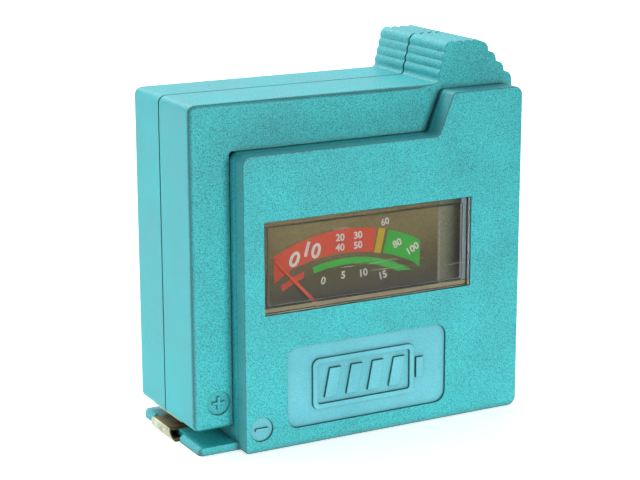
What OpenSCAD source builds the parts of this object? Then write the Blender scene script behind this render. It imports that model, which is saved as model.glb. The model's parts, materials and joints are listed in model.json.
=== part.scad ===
// Pocket battery tester: a meter body with a sliding arm that clamps a cell against its lip.
// Origin at the middle of the underside. X runs left to right, Y from front to back, Z up.

/* [Case] */
// Width of the closed tester
case_w = 60; // [59:0.5:62]
// Depth from the meter cover's face to the back
case_d = 26.2; // [25.8:0.1:27]
// Height of the slider's beam above the table
case_h = 57.6; // [57.2:0.1:58.2]
// Height of the thumb grip's top above the table
grip_h = 64.5; // [64.3:0.1:66]
// Thickness of the moulded walls
wall = 1.4; // [1.2:0.1:1.5]
// Gap between the slider and the meter body
run_gap = 0.16; // [0.1:0.02:0.24]

/* [Meter body] */
// Width of the slider's leg beside the meter body
leg_w = 7; // [6.8:0.1:7.3]
// Height of the slider's beam over the meter body
beam_h = 7.9; // [7.7:0.1:8.1]
// Step from the meter cover's face back to the slider's face
face_step = 4.7; // [4.5:0.1:5]
// Depth of the front cover up to its parting line
cover_d = 2.8; // [2.6:0.1:3]
// Height of the raised corner in front of the thumb grip
corner_h = 56.7; // [56:0.1:57]
// Height of the cell lip
lip_h = 1.4; // [1.2:0.1:1.6]

/* [Window and dial] */
// Width of the window
window_w = 39.2; // [38:0.1:39.6]
// Height of the window
window_h = 15.5; // [15:0.1:15.8]
// Height of the window's lower edge
window_z = 23.1; // [22.8:0.1:23.4]
// Angle of the pointer from upright when no cell is in place
rest_angle = -43; // [-44:1:-42]
// Length of the pointer from its pivot to its tip
pointer_len = 19; // [17.5:0.1:19.2]

/* [Slider] */
// Travel of the slider
travel = 49.5; // [48.5:0.5:50]
// Height of the leg's foot above the table when the slider is down
foot_z = 3.4; // [3.3:0.1:3.9]
// Ribs on each side of the thumb grip
rib_n = 4; // [3:1:5]

/* [Hidden] */
$fn = 48;
eps = 0.01;

// Frame of the outer faces
x_left = -case_w / 2;
x_right = case_w / 2;
y_face = -case_d / 2;
y_back = case_d / 2;
y_band = y_face + face_step;
y_part = y_face + cover_d;
y_corner_back = y_band - run_gap;
y_seam = 3.2;
y_inner = y_back - wall;

// Meter body outline
body_x = x_left + leg_w + run_gap / 2;
body_top = case_h - beam_h - run_gap / 2;
body_corner_r = 1.5;
slope_foot_x = 13.5;
slope_head_x = 16.3;
slope_angle = atan2(corner_h - body_top, slope_head_x - slope_foot_x);
slope_inset = tan(slope_angle / 2);

// Slider outline
leg_x = x_left + leg_w - run_gap / 2;
beam_z = case_h - beam_h + run_gap / 2;
grip_left = 16.2;
grip_right = 30.85;
grip_top_left = 17.7;
grip_top_right = 24.4;
grip_right_z = 56.9;
rib_steps = 6;
grip_fillet = 0.8;
slider_corner_r = 1.3;

// Tongue of the slider, its slot and the rail that it runs on
rail_x = 21.5;
rail_w = 4.2;
rail_y = 6.2;
rail_t = 1.8;
rail_top = 62.2;
slot_gap = 0.2;
tongue_wall = 1.3;
tongue_z = 3;
tongue_w = rail_w + 2 * (slot_gap + tongue_wall);
tongue_d = rail_t + 2 * (slot_gap + tongue_wall);
strip_t = 0.25;
groove_w = 2.4;
groove_d = 0.5;
pin_r = 0.5;
pin_z = rail_top - 0.9;
pin_overhang = 0.55;
pin_groove = 0.75;
stop_z = pin_z - travel - pin_r;
channel_gap = 0.2;
channel_wall = 1.1;
rail_tab_h = 0.6;
rail_tab_x = 13.5;

// Window, lens and meter module
window_x0 = -19.2;
window_x1 = window_x0 + window_w;
window_z1 = window_z + window_h;
lens_gap = 0.08;
lens_t = 1.2;
lens_wall = 1.1;
lens_recess = 0.12;
y_flange = y_face + wall + 0.1;
flange_t = 0.8;
module_x0 = -20.6;
module_x1 = 21.4;
module_z0 = 6.1;
module_z1 = 40.6;
module_wall = 1;
y_module = y_flange + flange_t;
y_module_back = 2.4;

// Movement, measured from the pointer's pivot
pivot_x = -2.9;
pivot_z = 17.3;
y_dial = -9;
dial_t = 0.3;
dial_right = 16.1;
y_pointer = -9.75;
pointer_t = 0.35;
ring_r = 10.1;
ring_bore = 9;
y_ring = [-6.6, -0.4];
core_r = 5.9;
y_core = [-6.2, -0.8];
coil_out = 8.3;
coil_in = 6.7;
coil_w = 2.4;
y_coil = [-7.3, 0.3];
coil_end = 0.7;
weight_half = [0.85, 0.45, 0.8];
y_bridge = [-10.5, -10.05];
bridge_reach = 9.7;
pillar_r = 0.6;
pivot_r = 0.35;
pivot_gap = 0.05;
bearing_r = 1.1;
spring_y = -8.35;
spring_w = 0.35;
spring_t = 0.12;
spring_turns = 3;
spring_pitch = 0.95;

// Plaque and polarity discs
plaque = [-15.2, 15.2, 3.1, 17];
plaque_r = 2;
plaque_depth = 0.45;
disc_depth = 0.35;
plus_pos = [-25.5, 7.95];
minus_pos = [-20, 3.9];
disc_r = 2.05;

// Screws
housing_screw_pos = [[-19.1, 45.2], [12.6, 45.2], [-11, 3.8], [11, 3.8]];
slider_screw_pos = [[-26.85, 11.5], [-26.85, 54.4], [11, 54.4]];
slider_boss_r = 1.85;
cover_boss_end = -5;

// Clip and contacts
clip_y = [-1.9, 7.4];
clip_top_y = 0.5;
clip_t = 0.3;
clip_bulge = 0.9;
clip_r = 1.2;
notch_d = 1;
notch_y = [-2.4, 8.8];
lip_chamfer = 0.55;
tab_x = -19.9;
nv_spacing = 12.7;
nv_z = [12, 12 + nv_spacing];
nv_w = 4.5;
nv_half = 3;
nv_t = 0.3;
nv_bulge = 0.9;
wire_r = 0.5;
wire_black = [0.12, 0.12, 0.12];
wire_red = [0.7, 0.12, 0.1];
wire_sides = 8;
wire_steps = 5;

function unit(v) = v / norm(v);

// Points of one outline corner b = [x, z, radius] between its neighbours a and c
function corner(a, b, c, n) =
    let (p = [b.x, b.y], u = unit([a.x, a.y] - p), v = unit([c.x, c.y] - p))
    let (half = acos(max(-1, min(1, u * v))) / 2, m = p + unit(u + v) * b.z / sin(half))
    let (s = p + u * b.z / tan(half) - m, e = p + v * b.z / tan(half) - m)
    let (a0 = atan2(s.y, s.x), turn = atan2(s.x * e.y - s.y * e.x, s * e))
    b.z == 0 ? [p] : [for (k = [0:n]) m + b.z * [cos(a0 + turn * k / n), sin(a0 + turn * k / n)]];

// Outline with every corner [x, z, radius] rounded
function rounded(c, n = 6) =
    [for (k = [0:len(c) - 1]) each corner(c[(k + len(c) - 1) % len(c)], c[k], c[(k + 1) % len(c)], n)];

// Rounded rectangle from [x0, x1, z0, z1]
function rounded_box(b, r) =
    rounded([[b[0], b[2], r], [b[1], b[2], r], [b[1], b[3], r], [b[0], b[3], r]]);

// Bumps along the line from a to b, standing out to the left of it
function bumps(a, b, n, depth) =
    let (side = unit([a.y - b.y, b.x - a.x]))
    [for (k = [0:n * rib_steps - 1])
        a + (b - a) * k / (n * rib_steps) - side * depth * abs(sin(180 * k / rib_steps))];

// Outline of the meter body, drawn in by i
function body_outline(i) = rounded([
    [body_x + i, i, 0.6], [x_right - i, i, body_corner_r],
    [x_right - i, body_top - i, 0.8], [body_x + i, body_top - i, body_corner_r]]);

// Outline of the front cover with its raised corner, drawn in by i
function cover_outline(i) = rounded([
    [body_x + i, i, 0.6], [x_right - i, i, body_corner_r],
    [x_right - i, corner_h - i, body_corner_r], [slope_head_x + i * slope_inset, corner_h - i, 0.9],
    [slope_foot_x + i * slope_inset, body_top - i, 0.9], [body_x + i, body_top - i, body_corner_r]]);

// Outline of the slider: leg, beam and ribbed thumb grip
slider_outline = concat(
    rounded([[x_left, beam_z, 0], [x_left, foot_z, 1.2], [leg_x, foot_z, 0], [leg_x, beam_z, 0.9],
        [x_right, beam_z, 0.4], [x_right, grip_right_z - 1.7, 0],
        [grip_right, grip_right_z - 0.8, 0]]),
    bumps([grip_right, grip_right_z], [grip_top_right, grip_h - 0.35], rib_n, 0.55),
    bumps([grip_top_right - 0.2, grip_h - 0.25], [grip_top_left, grip_h - 0.25], rib_n, 0.25),
    bumps([grip_top_left - 0.05, grip_h - 0.35], [grip_left, case_h + grip_fillet], rib_n, 0.22),
    corner([grip_left, grip_h], [grip_left, case_h, grip_fillet], [x_left, case_h], 5),
    corner([grip_left, case_h], [x_left, case_h, slider_corner_r], [x_left, foot_z], 8));

// The same outline drawn in by the wall, with a plain hollow in the grip
slider_hollow = [[x_left + wall, foot_z + wall], [leg_x - wall, foot_z + wall],
    [leg_x - wall, beam_z + wall], [x_right - wall, beam_z + wall], [x_right - wall, grip_right_z],
    [grip_top_right - 0.5, grip_h - wall - 0.3], [grip_top_left + wall - 0.5, grip_h - wall - 0.3],
    [grip_left + wall + 0.4, case_h - wall], [x_left + wall, case_h - wall]];

// Smooth route through the points p, with n steps between neighbours
function at(p, k) = p[max(0, min(len(p) - 1, k))];
function route(p, n) = concat([for (k = [0:len(p) - 2], j = [0:n - 1])
    let (t = j / n, a = at(p, k - 1), b = p[k], c = p[k + 1], d = at(p, k + 2))
    0.5 * (2 * b + (c - a) * t + (2 * a - 5 * b + 4 * c - d) * t * t
        + (3 * b - a - 3 * c + d) * t * t * t)], [p[len(p) - 1]]);

// Round tube of radius r along the route's points
module tube(p, r) {
    n = len(p);
    dir = [for (k = [0:n - 1]) unit(at(p, k + 1) - at(p, k - 1))];
    ref = [0.3, 0.9, -0.3];
    rings = [for (k = [0:n - 1])
        let (u = unit(cross(dir[k], ref)), v = cross(dir[k], u))
        for (s = [0:wire_sides - 1])
            p[k] + r * (u * cos(360 * s / wire_sides) + v * sin(360 * s / wire_sides))];
    walls = [for (k = [0:n - 2], s = [0:wire_sides - 1])
        let (a = k * wire_sides + s, b = k * wire_sides + (s + 1) % wire_sides)
        [a, b, b + wire_sides, a + wire_sides]];
    first = [for (s = [wire_sides - 1:-1:0]) s];
    last = [for (s = [0:wire_sides - 1]) (n - 1) * wire_sides + s];
    polyhedron(rings, concat(walls, [first, last]));
}

// A flat shape drawn in X and Z, carried from depth y0 back to depth y1
module along_y(y0, y1) translate([0, y1, 0]) rotate([90, 0, 0]) linear_extrude(y1 - y0) children();

// A round bar along Y
module rod(x, z, r, y0, y1) translate([x, y1, z]) rotate([90, 0, 0]) cylinder(r = r, h = y1 - y0);

// A block from one corner to the other
module block(a, b) translate(a) cube(b - a);

// Parts of the movement are drawn about the pointer's pivot
module at_pivot() translate([pivot_x, 0, pivot_z]) children();
module at_rest() at_pivot() rotate([0, rest_angle, 0]) children();

module teal() color([0.30, 0.75, 0.77]) children();
module brass() color([0.80, 0.68, 0.38]) children();
module steel() color([0.72, 0.73, 0.75]) children();

// Recess of a polarity disc, with its bars left standing
module disc_recess(pos, y, plus) difference() {
    rod(pos.x, pos.y, disc_r, y - eps, y + disc_depth);
    block([pos.x - 1.15, y - 1, pos.y - 0.25], [pos.x + 1.15, y + 1, pos.y + 0.25]);
    if (plus)
        block([pos.x - 0.25, y - 1, pos.y - 1.15], [pos.x + 0.25, y + 1, pos.y + 1.15]);
}

// Raised mark on the plaque: the outline of a cell with charge bars and a nub
module plaque_mark() {
    cell = [-10.5, 9, 5.6, 14.4];
    rim = 0.9;
    difference() {
        polygon(rounded_box(cell, 1.2));
        polygon(rounded_box([cell[0] + rim, cell[1] - rim, cell[2] + rim, cell[3] - rim], 0.5));
    }
    for (k = [0:3])
        translate([cell[0] + 2.2 + 4.1 * k, cell[2] + 1.9])
            polygon([[0, 0], [2.2, 0], [3.2, 5], [1, 5]]);
    polygon([[9.4, 8.2], [10.9, 8.2], [10.9, 11.8], [9.4, 11.8]]);
}

module front_cover() teal() {
    difference() {
        along_y(y_face, y_part) polygon(cover_outline(0));
        along_y(y_face + wall, y_part + eps) polygon(cover_outline(wall));
        block([window_x0, y_face - 1, window_z], [window_x1, y_part, window_z1]);
        along_y(y_face - eps, y_face + plaque_depth) difference() {
            polygon(rounded_box(plaque, plaque_r));
            plaque_mark();
        }
        disc_recess(minus_pos, y_face, false);
    }
    for (p = housing_screw_pos)
        difference() {
            rod(p.x, p.y, 2, y_face + wall - eps, cover_boss_end);
            rod(p.x, p.y, 1, y_face + wall + 2, cover_boss_end + eps);
        }
}

// Socket in which a screw through the back sits
module screw_boss(p, r, head_r, hole_r, y0) difference() {
    union() {
        rod(p.x, p.y, r, y0, y_inner + eps);
        rod(p.x, p.y, head_r + 0.7, y_inner - 2, y_inner + eps);
    }
    rod(p.x, p.y, hole_r, y0 - 1, y_back);
}

module rear_housing() teal() {
    channel_x = [rail_x - tongue_w / 2 - channel_gap, rail_x + tongue_w / 2 + channel_gap];
    channel_y = [rail_y - tongue_d / 2 - channel_gap, rail_y + tongue_d / 2 + channel_gap];
    difference() {
        union() {
            difference() {
                along_y(y_part, y_back) polygon(body_outline(0));
                along_y(y_part - eps, y_inner) polygon(body_outline(wall));
            }
            intersection() {
                along_y(y_part, y_corner_back) polygon(cover_outline(0));
                block([slope_foot_x - 2, y_part - 1, body_top - wall], [x_right, y_back, corner_h]);
            }
            lip();
            block([channel_x[0] - channel_wall, channel_y[0] - channel_wall, wall - eps],
                [channel_x[1] + channel_wall, channel_y[1] + channel_wall, body_top - eps]);
            block([rail_x - 0.6, channel_y[1], wall - eps], [rail_x + 0.6, y_inner + eps, body_top - 1]);
            for (p = housing_screw_pos)
                screw_boss(p, 2, 2, 1.1, cover_boss_end + 0.1);
        }
        block([channel_x[0], channel_y[0], wall], [channel_x[1], channel_y[1], body_top + 1]);
        block([channel_x[0] - 2, rail_y - 1, wall], [channel_x[0] + 1, rail_y + 1, wall + 1]);
        for (p = housing_screw_pos) {
            rod(p.x, p.y, 1.1, 0, y_back + 1);
            rod(p.x, p.y, 2, y_back - 2.4, y_back + 1);
        }
        for (z = nv_z)
            block([x_right - wall - 1, -nv_w / 2 - 0.2, z - nv_half - 0.2],
                [x_right + 1, nv_w / 2 + 0.2, z + nv_half + 0.2]);
        clip_seat();
    }
}

// Lip under the leg: the cell stands on it
module lip() difference() {
    linear_extrude(lip_h) polygon(rounded([
        [x_left, y_part, 1], [body_x + 1, y_part, 0], [body_x + 1, y_inner + 0.9, 0],
        [x_left, y_inner + 0.9, 0.8]]));
    along_y(y_part - 1, y_back) polygon([[x_left - 1, lip_h - lip_chamfer - 1],
        [x_left + lip_chamfer + 1, lip_h + 1], [x_left - 1, lip_h + 1]]);
}

// Room for the clip round the lip's edge and its tail through the left wall
module clip_seat() {
    g = 0.04;
    block([x_left - 1, clip_y[0] - g, -1], [x_left + 4 + g, clip_y[1] + g, clip_t + g]);
    block([x_left - 1, notch_y[0], -1], [x_left + notch_d, notch_y[1], lip_h + 1]);
    block([x_left + 1, 1 - g, lip_h - g], [body_x + wall + 1, 5 + g, lip_h + clip_t + g]);
}

// Profile of the clip's hook, drawn in by d
module clip_profile(d) {
    foot = x_left + 4 + (d > 0 ? 1 : 0);
    intersection() {
        translate([x_left - 3, d]) square([foot - x_left + 3, lip_h + clip_t - 2 * d]);
        union() {
            translate([x_left - clip_bulge + clip_r, (lip_h + clip_t) / 2]) circle(clip_r - d);
            translate([x_left - clip_bulge + clip_r, 0]) square([6, lip_h + clip_t]);
        }
    }
}

module negative_clip() brass() {
    foot = x_left + 4;
    slant = (clip_top_y - clip_y[0]) / (lip_h + clip_t);
    difference() {
        along_y(clip_y[0], clip_y[1]) clip_profile(0);
        along_y(clip_y[0] - 1, clip_y[1] + 1) clip_profile(clip_t);
        translate([x_left - 2, 0, 0]) rotate([90, 0, 90]) linear_extrude(8)
            polygon([[clip_y[0] - slant, -1], [clip_y[0] + 3 * slant, 3], [clip_y[0] - 4, 3],
                [clip_y[0] - 4, -1]]);
    }
    block([foot - eps, 1, lip_h], [tab_x, 5, lip_h + clip_t]);
    block([tab_x - clip_t, 1, lip_h], [tab_x, 5, lip_h + 2.6]);
}

module lens() color([0.85, 0.87, 0.82, 0.35]) {
    difference() {
        union() {
            along_y(y_face + lens_recess, y_module) polygon(rounded_box([window_x0 + lens_gap,
                window_x1 - lens_gap, window_z + lens_gap, window_z1 - lens_gap], 0.15));
            along_y(y_flange, y_module)
                polygon(rounded_box([module_x0, module_x1, module_z0, module_z1], 0.6));
        }
        along_y(y_face + lens_recess + lens_t, y_module + eps)
            polygon(rounded_box([window_x0 + lens_wall, window_x1 - lens_wall,
                window_z + lens_wall, window_z1 - lens_wall], 0.3));
    }
}

module meter_frame() color([0.16, 0.15, 0.13]) difference() {
    union() {
        difference() {
            block([module_x0, y_module, module_z0], [module_x1, y_module_back, module_z1]);
            block([module_x0 + module_wall, y_module - 1, module_z0 + module_wall],
                [module_x1 - module_wall, y_module_back - module_wall, module_z1 - module_wall]);
        }
        for (x = [-17.5, 11.8])
            rod(x, 12.2, 1.4, y_dial + dial_t, y_module_back);
    }
    for (x = [-17.5, 11.8])
        rod(x, 12.2, 0.7, y_dial - 1, y_dial + 4);
    rod(pivot_x, pivot_z, bearing_r + 0.04, 0, y_module_back + 1);
}

module dial_plate() color([0.45, 0.41, 0.30]) difference() {
    block([module_x0 + module_wall + 0.2, y_dial, 10.4], [dial_right, y_dial + dial_t, 39.3]);
    rod(pivot_x, pivot_z, 4.2, y_dial - 1, y_dial + 1);
    for (x = [-bridge_reach, bridge_reach])
        rod(pivot_x + x, pivot_z, pillar_r + 0.2, y_dial - 1, y_dial + 1);
    for (x = [-17.5, 11.8])
        rod(x, 12.2, 0.8, y_dial - 1, y_dial + 1);
}

module dial_screws() steel() for (x = [-17.5, 11.8]) difference() {
    union() {
        rod(x, 12.2, 1.3, y_dial - 0.6, y_dial - 0.02);
        rod(x, 12.2, 0.65, y_dial - 0.1, y_dial + 3.5);
    }
    block([x - 2, y_dial - 1, 12.05], [x + 2, y_dial - 0.35, 12.35]);
}

module field_ring() steel() at_pivot() difference() {
    rod(0, 0, ring_r, y_ring[0], y_ring[1]);
    rod(0, 0, ring_bore, y_ring[0] - 1, y_ring[1] + 1);
}

module core_magnet() color([0.35, 0.34, 0.35]) at_pivot() difference() {
    rod(0, 0, core_r, y_core[0], y_core[1]);
    block([-1.25, -4.15, -core_r - 1], [1.25, -2.85, core_r + 1]);
}

module core_strap() brass() at_pivot()
    block([-1.2, -4.1, -ring_bore + 0.1], [1.2, -2.9, ring_bore - 0.1]);

module front_bridge() brass() at_pivot() {
    difference() {
        along_y(y_bridge[0], y_bridge[1])
            polygon(rounded_box([-bridge_reach - 1, bridge_reach + 1, -1.5, 1.5], 1));
        rod(0, 0, bearing_r, y_bridge[0] - 1, y_bridge[1] + 1);
    }
    for (x = [-bridge_reach, bridge_reach])
        rod(x, 0, pillar_r, y_bridge[1] - eps, y_ring[0]);
}

// Bearing cup that holds one pivot, open towards the coil
module bearing(y0, y1, bore_y0, bore_y1) at_pivot() difference() {
    rod(0, 0, bearing_r, y0, y1);
    rod(0, 0, pivot_r + pivot_gap, bore_y0, bore_y1);
}

module front_bearing() brass()
    bearing(y_bridge[0] - 0.1, y_bridge[1] + 0.12, y_bridge[0] + 0.1, y_bridge[1] + 1);

module rear_bearing() brass()
    bearing(0.7, y_module_back, 0, y_module_back - 0.9);

module meter_terminals() brass() for (x = [-14, 6]) {
    block([x - 1.2, y_module_back, 9], [x + 1.2, y_module_back + 0.3, 13]);
    block([x - 1.2, y_module_back, 12.7], [x + 1.2, y_module_back + 3, 13]);
}

module guide_rail() brass() difference() {
    union() {
        block([rail_x - rail_w / 2, rail_y - rail_t / 2, wall],
            [rail_x + rail_w / 2, rail_y + rail_t / 2, rail_top]);
        block([rail_tab_x, rail_y - rail_t / 2, wall], [rail_x, rail_y + rail_t / 2, wall + rail_tab_h]);
    }
    translate([rail_x - rail_w, rail_y, pin_z]) rotate([0, 90, 0]) cylinder(r = pin_r, h = 2 * rail_w);
}

module stop_pin() steel() translate([rail_x - rail_w / 2 - pin_overhang, rail_y, pin_z])
    rotate([0, 90, 0]) cylinder(r = pin_r, h = rail_w + 2 * pin_overhang);

// Bowed leaf seen through a slot in the right side, with flat feet behind the wall
module nine_volt_contacts() steel() for (z = nv_z) {
    inner = x_right - wall - nv_t;
    rise = nv_bulge + wall + nv_t;
    r = (nv_half * nv_half + rise * rise) / (2 * rise);
    intersection() {
        translate([x_right + nv_bulge - r, nv_w / 2, z]) rotate([90, 0, 0]) difference() {
            cylinder(r = r, h = nv_w);
            translate([0, 0, -1]) cylinder(r = r - nv_t, h = nv_w + 2);
        }
        block([inner, -nv_w, z - nv_half], [x_right + 2, nv_w, z + nv_half]);
    }
    for (s = [-1, 1])
        translate([inner - 0.05, -nv_w / 2, s > 0 ? z + nv_half - 0.4 : z - nv_half - 1.4])
            cube([nv_t, nv_w, 1.8]);
}

// Small axial resistor lying along X
module resistor(x, y, z, body_color) {
    color(body_color) translate([x - 3, y, z]) rotate([0, 90, 0]) cylinder(r = 1.1, h = 6);
    steel() translate([x - 5.5, y, z]) rotate([0, 90, 0]) cylinder(r = 0.3, h = 11);
}

module cell_resistor() resistor(1.5, 7.6, 12, [0.75, 0.66, 0.48]);
module nine_volt_resistor() resistor(5, 7.6, 19, [0.36, 0.55, 0.68]);

module wire(points, tint) color(tint) tube(route(points, wire_steps), wire_r);

module negative_wire() wire([[-20.5, 3, 4.7], [-20, 4.6, 6.5], [-18.6, 6.2, 9], [-18, 5, 12.5],
    [-16.6, 4.4, 13.8], [-14.2, 4, 13.6]], wire_black);
module positive_wire() wire([[13.9, 5.6, 2.6], [14.2, 4.6, 4.8], [12.6, 4.6, 8], [10, 6, 10.6],
    [7.1, 7.6, 12]], wire_red);
module nine_volt_plus_wire() wire([[27.6, 0, 20], [27, 1, 14], [26.6, 0, 8], [22, -1, 4],
    [17.5, -0.8, 3.8], [15.6, 1, 3.8], [15.4, 5, 5.5], [15, 8.5, 9], [13.4, 8.6, 14],
    [10.7, 7.6, 19]], wire_red);
module nine_volt_minus_wire() wire([[27.6, -1.2, 14.6], [27.4, -2, 24], [26.5, -3, 36],
    [23, -3, 41.9], [14, -2, 41.9], [6, 1.5, 41.9], [0, 6, 38], [-8, 8, 28], [-13, 7, 18],
    [-13.1, 5.2, 13.7]], wire_black);

// Pan-head screw driven in from the back, with a cross recess
module screw(p, head_r, shank_r, y0, y_head, head_t) steel() difference() {
    union() {
        rod(p.x, p.y, shank_r, y0, y_head);
        rod(p.x, p.y, head_r, y_head, y_head + head_t);
    }
    for (a = [0, 90])
        translate([p.x, y_head + head_t, p.y]) rotate([0, a, 0])
            cube([head_r * 1.3, 1.1, 0.35], center = true);
}

module housing_screws() for (p = housing_screw_pos)
    screw(p, 1.75, 0.92, cover_boss_end - 4, y_back - 2.38, 1.3);

module slider_screws() for (p = slider_screw_pos)
    screw(p, 1.35, 0.72, y_seam - 6, y_back - 2.18, 1.1);

// Shell of one half of the slider between two depths, hollow between two others
module slider_shell(y0, y1, h0, h1) difference() {
    along_y(y0, y1) polygon(slider_outline);
    along_y(h0, h1) polygon(slider_hollow);
}

module slider_front_half() teal() {
    difference() {
        slider_shell(y_band, y_seam, y_band + wall, y_seam + eps);
        disc_recess(plus_pos, y_band, true);
    }
    for (p = slider_screw_pos)
        difference() {
            rod(p.x, p.y, slider_boss_r, y_band + wall - eps, y_seam);
            rod(p.x, p.y, 0.8, y_seam - 7, y_seam + eps);
        }
}

module slider_rear_half() teal() difference() {
    union() {
        slider_shell(y_seam, y_back, y_seam - eps, y_inner);
        for (p = slider_screw_pos)
            rod(p.x, p.y, slider_boss_r, y_seam, y_inner + eps);
        block([rail_x - tongue_w / 2, rail_y - tongue_d / 2, tongue_z],
            [rail_x + tongue_w / 2, rail_y + tongue_d / 2, beam_z + wall]);
    }
    for (p = slider_screw_pos) {
        rod(p.x, p.y, 0.9, y_seam - 1, y_back + 1);
        rod(p.x, p.y, 1.5, y_back - 2.2, y_back + 1);
    }
    block([rail_x - rail_w / 2 - slot_gap, rail_y - rail_t / 2 - slot_gap, tongue_z - 1],
        [rail_x + rail_w / 2 + slot_gap, rail_y + rail_t / 2 + slot_gap, beam_z + wall + 1]);
    block([rail_x - rail_w / 2 - pin_groove, rail_y - pin_r - 0.15, stop_z],
        [rail_x + rail_w / 2 + pin_groove, rail_y + pin_r + 0.15, beam_z + wall + 1]);
    block([rail_x - groove_w / 2, rail_y, tongue_z - 1],
        [rail_x + groove_w / 2, rail_y + rail_t / 2 + slot_gap + groove_d, beam_z + wall + 1]);
    block([leg_x - wall - 0.45, 7.3, foot_z - 1], [leg_x - wall - 0.05, 9.5, foot_z + wall + 1]);
}

module positive_contact() brass() {
    along_y(-1.5, 10) polygon(rounded_box([x_left + 0.8, leg_x - 0.6, foot_z - 0.3, foot_z], 0.1));
    block([leg_x - wall - 0.4, 7.4, foot_z - eps], [leg_x - wall - 0.1, 9.4, foot_z + wall + 0.5]);
}

// Strip that carries the current up the leg, along the beam and down the tongue
module slider_strip() brass() {
    y = [rail_y + rail_t / 2 + slot_gap + 0.1, rail_y + rail_t / 2 + slot_gap + 2.1];
    z = beam_z + wall + 0.06;
    x = leg_x - wall - 0.1;
    w = groove_w / 2 - 0.2;
    block([x - strip_t, y[0], foot_z + wall + 0.5], [x, y[1], z + strip_t]);
    block([x - strip_t, y[0], z], [rail_x + w, y[1], z + strip_t]);
    block([rail_x - w, y[0], tongue_z + 7], [rail_x + w, y[0] + strip_t, z + strip_t]);
}

// Bowed leaf at the foot of the strip that rubs on the rail
module wiper_spring() steel() {
    w = groove_w / 2 - 0.2;
    y = rail_y + rail_t / 2 + slot_gap + 0.1;
    rise = y + strip_t - (rail_y + rail_t / 2) - 0.04;
    half = 3;
    r = (half * half + rise * rise) / (2 * rise);
    intersection() {
        translate([rail_x - w, rail_y + rail_t / 2 + 0.04 + r, tongue_z + 3.8]) rotate([0, 90, 0])
            difference() {
                cylinder(r = r, h = 2 * w, $fn = 96);
                translate([0, 0, -1]) cylinder(r = r - strip_t, h = 2 * w + 2, $fn = 96);
            }
        block([rail_x - 2, rail_y, tongue_z + 0.8], [rail_x + 2, y + strip_t, tongue_z + 6.8]);
    }
}

module pointer() color([0.93, 0.28, 0.12]) at_rest() difference() {
    along_y(y_pointer, y_pointer + pointer_t) {
        circle(r = 1.3);
        polygon([[-0.34, -4.2], [0.34, -4.2], [0.34, 0], [0.2, pointer_len], [-0.2, pointer_len],
            [-0.34, 0]]);
    }
    rod(0, 0, pivot_r, y_pointer - 1, y_pointer + 1);
}

module pointer_pivots() steel() at_rest() {
    rod(0, 0, pivot_r, y_bridge[0] + 0.15, y_coil[0]);
    rod(0, 0, pivot_r, y_coil[1], y_module_back - 0.95);
}

module moving_coil() color([0.72, 0.42, 0.2]) at_rest() difference() {
    block([-coil_out, y_coil[0], -coil_w / 2], [coil_out, y_coil[1], coil_w / 2]);
    block([-coil_in, y_coil[0] + coil_end, -coil_w], [coil_in, y_coil[1] - coil_end, coil_w]);
}

// Collar that grips the pointer's tail
module balance_weight() steel() at_rest() difference() {
    translate([0, y_pointer + pointer_t / 2, -3.9]) block(-weight_half, weight_half);
    along_y(y_pointer - 0.02, y_pointer + pointer_t + 0.02)
        polygon([[-0.57, 0], [0.57, 0], [0.47, -6], [-0.47, -6]]);
}

// Point k of the hairspring's spiral, moved outwards by side
function spiral(k, side) = (pivot_r + 0.05 + spring_pitch * k / 24 + side) * [cos(15 * k), sin(15 * k)];

// Flat spiral spring behind the dial
module hairspring() brass() at_rest() along_y(spring_y, spring_y + spring_w)
    polygon(concat([for (k = [0:24 * spring_turns]) spiral(k, spring_t)],
        [for (k = [24 * spring_turns:-1:0]) spiral(k, 0)]));

front_cover();
rear_housing();
lens();
meter_frame();
dial_plate();
field_ring();
core_magnet();
core_strap();
front_bridge();
front_bearing();
rear_bearing();
dial_screws();
meter_terminals();
guide_rail();
stop_pin();
negative_clip();
nine_volt_contacts();
cell_resistor();
nine_volt_resistor();
negative_wire();
positive_wire();
nine_volt_plus_wire();
nine_volt_minus_wire();
housing_screws();
slider_front_half();
slider_rear_half();
positive_contact();
slider_strip();
wiper_spring();
slider_screws();
pointer();
pointer_pivots();
moving_coil();
balance_weight();
hairspring();
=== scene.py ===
"""Pocket battery tester: rounded mouldings, printed dial under a clear lens, contacts, screws.

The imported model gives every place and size; the shapes and finishes below are built around it.
"""
import json
import math

import bmesh
import bpy
import numpy as np
from bpy.props import FloatProperty, FloatVectorProperty, PointerProperty
from bpy.types import Operator, Panel, PropertyGroup
from mathutils import Matrix, Vector

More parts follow.
